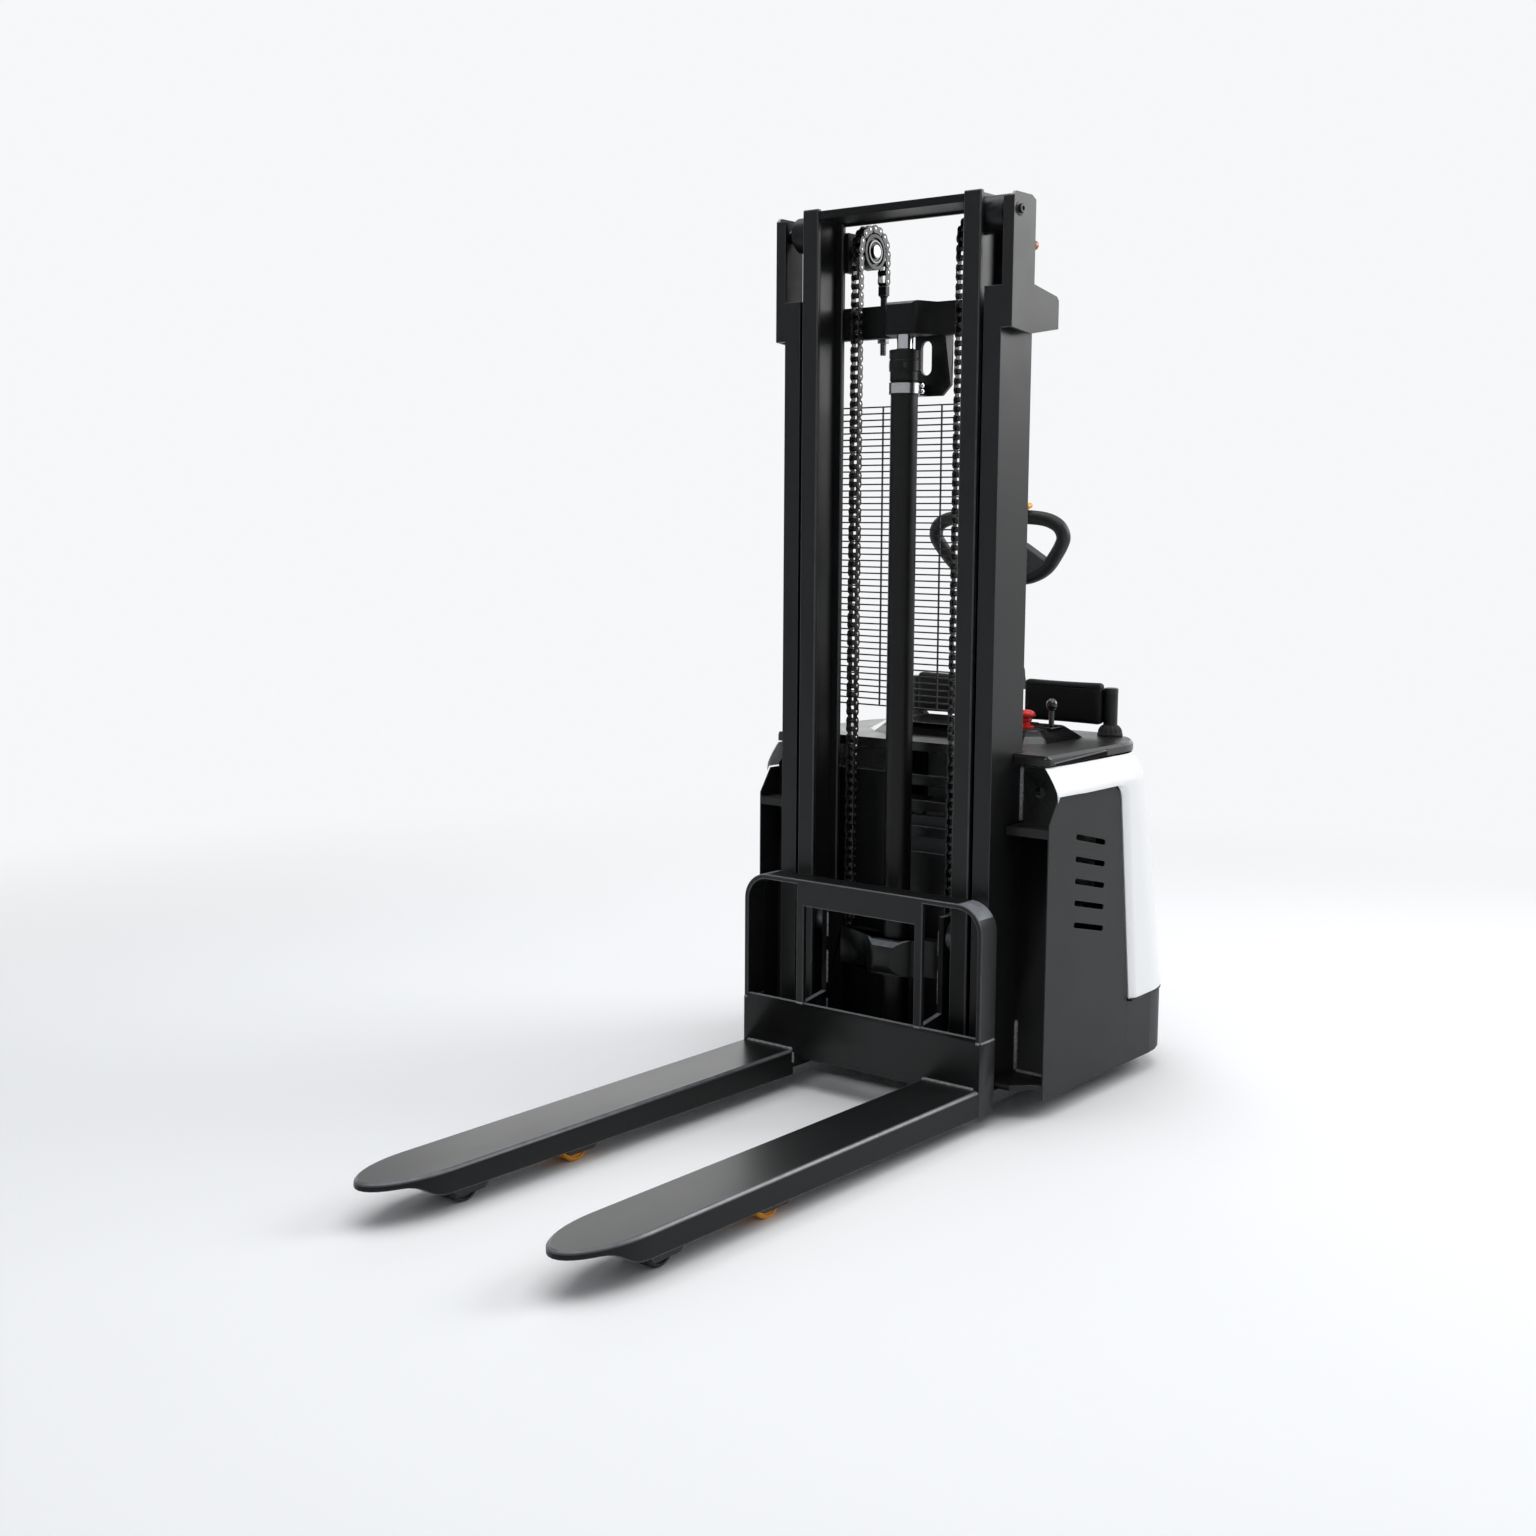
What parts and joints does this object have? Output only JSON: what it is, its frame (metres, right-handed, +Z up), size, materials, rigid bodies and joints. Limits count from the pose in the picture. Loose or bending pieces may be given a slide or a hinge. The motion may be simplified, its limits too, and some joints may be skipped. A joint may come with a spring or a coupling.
{
  "type": "electric stacker",
  "caption": "Ride-on electric stacker with forks over support legs, a telescopic chain-lift mast, a white hood, folding side guards and a steering tiller.",
  "frame": {"origin": "on the floor, under the middle of the truck's length and width", "axes": "+X to the truck's right as seen from the forks, +Y from the fork tips to the hood, +Z up"},
  "size_m": [0.78, 1.981, 1.898],
  "materials": {
    "black_paint": "satin black paint on welded steel",
    "panel_black": "fine textured black powder coat",
    "hood_white": "satin white paint",
    "cover_black": "grained black plastic",
    "grip_black": "matte black moulded plastic",
    "boot_rubber": "matte black rubber",
    "pad_black": "matte black moulded foam skin",
    "rod_chrome": "polished",
    "steel": "machined, lightly oiled",
    "chain_steel": "oiled dark chain steel",
    "roller_orange": "orange polyurethane",
    "roller_black": "black nylon",
    "drive_tread": "solid tread",
    "motor_grey": "cast, painted grey",
    "controller_grey": "anodised",
    "battery_grey": null,
    "button_yellow": "yellow plastic",
    "control_grey": "grey plastic",
    "stop_red": "red plastic",
    "knob_black": "polished black plastic"
  },
  "bodies": {
    "chassis": {"chassis_frame": "black_paint", "drive_bridge": "black_paint", "side_panel_left": "panel_black", "side_panel_right": "panel_black", "hood": "hood_white", "top_cover": "cover_black", "rear_skirt": "panel_black", "support_leg_left": "black_paint", "support_leg_right": "black_paint", "outer_mast_left": "black_paint", "outer_mast_right": "black_paint", "outer_mast_ties": "black_paint", "mast_guard": "black_paint", "lift_cylinder": "black_paint", "chain_anchor_rods": "steel", "battery": "battery_grey", "pump_unit": "motor_grey", "motor_controller": "controller_grey", "guard_arm_boots": "boot_rubber"},
    "steer_unit": {"drive_gearbox": "motor_grey", "drive_motor": "motor_grey", "steering_column": "black_paint"},
    "drive_wheel": {"drive_wheel": "drive_tread"},
    "tiller": {"tiller_arm": "black_paint", "tiller_head": "grip_black"},
    "belly_button": {"belly_button": "button_yellow"},
    "throttle_wings": {"throttle_wings": "grip_black"},
    "lift_rocker": {"lift_rocker": "control_grey"},
    "horn_button": {"horn_button": "control_grey"},
    "inner_mast": {"inner_mast_left": "black_paint", "inner_mast_right": "black_paint", "inner_mast_ties": "black_paint", "piston_rod": "rod_chrome", "lift_chain_tops": "chain_steel"},
    "carriage": {"fork_left": "black_paint", "fork_right": "black_paint", "carriage_frame": "black_paint", "load_backrest": "black_paint", "lift_chain_fronts": "chain_steel"},
    "chain_rollers": {"chain_rollers": "steel"},
    "outer_mast_rollers": {"outer_mast_rollers": "steel"},
    "inner_mast_rollers": {"inner_mast_rollers": "steel"},
    "carriage_rollers_upper": {"carriage_rollers_upper": "steel"},
    "carriage_rollers_lower": {"carriage_rollers_lower": "steel"},
    "platform": {"platform": "black_paint"},
    "emergency_stop": {"emergency_stop": "stop_red"},
    "control_lever": {"control_lever": "knob_black"},
    "tip_roller_left": {"tip_roller_left": "roller_black"},
    "load_roller_left": {"load_roller_left": "roller_orange"},
    "castor_fork_left": {"castor_fork_left": "black_paint"},
    "castor_wheel_left": {"castor_wheel_left": "roller_black"},
    "guard_left": {"guard_arm_left": "black_paint", "guard_pad_left": "pad_black"},
    "tip_roller_right": {"tip_roller_right": "roller_black"},
    "load_roller_right": {"load_roller_right": "roller_orange"},
    "castor_fork_right": {"castor_fork_right": "black_paint"},
    "castor_wheel_right": {"castor_wheel_right": "roller_black"},
    "guard_right": {"guard_arm_right": "black_paint", "guard_pad_right": "pad_black"}
  },
  "joints": [
    {"name": "mast_lift", "type": "slide", "parent": "chassis", "child": "inner_mast", "axis": [0, 0, 1], "range_m": [0, 1.36], "deforming": ["lift_chain_tops"]},
    {"name": "carriage_lift", "type": "slide", "parent": "inner_mast", "child": "carriage", "axis": [0, 0, 1], "range_m": [0, 1.36], "deforming": ["lift_chain_fronts"]},
    {"name": "chain_roller_spin", "type": "hinge", "parent": "inner_mast", "child": "chain_rollers", "pos_m": [0, 0.3635, 1.817], "axis": [1, 0, 0], "continuous": true},
    {"name": "outer_roller_spin", "type": "hinge", "parent": "chassis", "child": "outer_mast_rollers", "pos_m": [0, 0.2885, 1.853], "axis": [1, 0, 0], "continuous": true},
    {"name": "inner_roller_spin", "type": "hinge", "parent": "inner_mast", "child": "inner_mast_rollers", "pos_m": [0, 0.3025, 0.15], "axis": [1, 0, 0], "continuous": true},
    {"name": "carriage_roller_upper_spin", "type": "hinge", "parent": "carriage", "child": "carriage_rollers_upper", "pos_m": [0, 0.2885, 0.37], "axis": [1, 0, 0], "continuous": true},
    {"name": "carriage_roller_lower_spin", "type": "hinge", "parent": "carriage", "child": "carriage_rollers_lower", "pos_m": [0, 0.2885, 0.14], "axis": [1, 0, 0], "continuous": true},
    {"name": "steer", "type": "hinge", "parent": "chassis", "child": "steer_unit", "pos_m": [0, 0.7625, 0.89], "axis": [0, 0, 1], "range_deg": [-90, 90]},
    {"name": "drive_spin", "type": "hinge", "parent": "steer_unit", "child": "drive_wheel", "pos_m": [0, 0.7625, 0.115], "axis": [1, 0, 0], "continuous": true},
    {"name": "tiller_tilt", "type": "hinge", "parent": "steer_unit", "child": "tiller", "pos_m": [0, 0.7625, 0.89], "axis": [-1, 0, 0], "range_deg": [0, 80], "stiffness_Nm_per_rad": 7},
    {"name": "belly_press", "type": "slide", "parent": "tiller", "child": "belly_button", "axis": [0, 0.2215, -0.9751], "range_m": [0, 0.0035], "stiffness_N_per_m": 400, "springref_m": -0.005},
    {"name": "throttle_turn", "type": "hinge", "parent": "tiller", "child": "throttle_wings", "pos_m": [0, 0.71917, 1.1755], "axis": [1, 0, 0], "range_deg": [-15, 15], "stiffness_Nm_per_rad": 0.4},
    {"name": "lift_rocker_tip", "type": "hinge", "parent": "tiller", "child": "lift_rocker", "pos_m": [0, 0.72648, 1.14332], "axis": [1, 0, 0], "range_deg": [-10, 10], "stiffness_Nm_per_rad": 0.3},
    {"name": "horn_press", "type": "slide", "parent": "tiller", "child": "horn_button", "axis": [0, -0.9751, -0.2215], "range_m": [0, 0.003], "stiffness_N_per_m": 300, "springref_m": -0.003},
    {"name": "tip_roller_left_spin", "type": "hinge", "parent": "chassis", "child": "tip_roller_left", "pos_m": [-0.2405, -0.7745, 0.037], "axis": [1, 0, 0], "continuous": true},
    {"name": "load_roller_left_spin", "type": "hinge", "parent": "chassis", "child": "load_roller_left", "pos_m": [-0.2405, -0.4855, 0.037], "axis": [1, 0, 0], "continuous": true},
    {"name": "castor_left_swivel", "type": "hinge", "parent": "chassis", "child": "castor_fork_left", "pos_m": [-0.25, 0.7595, 0.19], "axis": [0, 0, 1], "continuous": true},
    {"name": "castor_left_spin", "type": "hinge", "parent": "castor_fork_left", "child": "castor_wheel_left", "pos_m": [-0.25, 0.7955, 0.0625], "axis": [1, 0, 0], "continuous": true},
    {"name": "guard_left_swing", "type": "hinge", "parent": "chassis", "child": "guard_left", "pos_m": [-0.261, 0.7625, 0.8], "axis": [0, 0, 1], "range_deg": [0, 90]},
    {"name": "tip_roller_right_spin", "type": "hinge", "parent": "chassis", "child": "tip_roller_right", "pos_m": [0.2405, -0.7745, 0.037], "axis": [1, 0, 0], "continuous": true},
    {"name": "load_roller_right_spin", "type": "hinge", "parent": "chassis", "child": "load_roller_right", "pos_m": [0.2405, -0.4855, 0.037], "axis": [1, 0, 0], "continuous": true},
    {"name": "castor_right_swivel", "type": "hinge", "parent": "chassis", "child": "castor_fork_right", "pos_m": [0.25, 0.7595, 0.19], "axis": [0, 0, 1], "continuous": true},
    {"name": "castor_right_spin", "type": "hinge", "parent": "castor_fork_right", "child": "castor_wheel_right", "pos_m": [0.25, 0.7955, 0.0625], "axis": [1, 0, 0], "continuous": true},
    {"name": "guard_right_swing", "type": "hinge", "parent": "chassis", "child": "guard_right", "pos_m": [0.261, 0.7625, 0.8], "axis": [0, 0, 1], "range_deg": [-90, 0]},
    {"name": "platform_fold", "type": "hinge", "parent": "chassis", "child": "platform", "pos_m": [0, 0.9705, 0.17], "axis": [-1, 0, 0], "range_deg": [0, 100]},
    {"name": "stop_press", "type": "slide", "parent": "chassis", "child": "emergency_stop", "axis": [0, 0, -1], "range_m": [0, 0.006]},
    {"name": "lever_tip", "type": "hinge", "parent": "chassis", "child": "control_lever", "pos_m": [0.192, 0.6195, 0.776], "axis": [1, 0, 0], "range_deg": [-15, 15], "stiffness_Nm_per_rad": 0.6}
  ],
  "couplings": [
    {"joint": "carriage_lift", "follows": "mast_lift", "ratio": 1},
    {"joint": "chain_roller_spin", "follows": "mast_lift", "rad_per_m": -20.482},
    {"joint": "outer_roller_spin", "follows": "mast_lift", "rad_per_m": 26.667},
    {"joint": "inner_roller_spin", "follows": "mast_lift", "rad_per_m": -21.053},
    {"joint": "carriage_roller_upper_spin", "follows": "mast_lift", "rad_per_m": -26.667},
    {"joint": "carriage_roller_lower_spin", "follows": "mast_lift", "rad_per_m": 26.667}
  ]
}
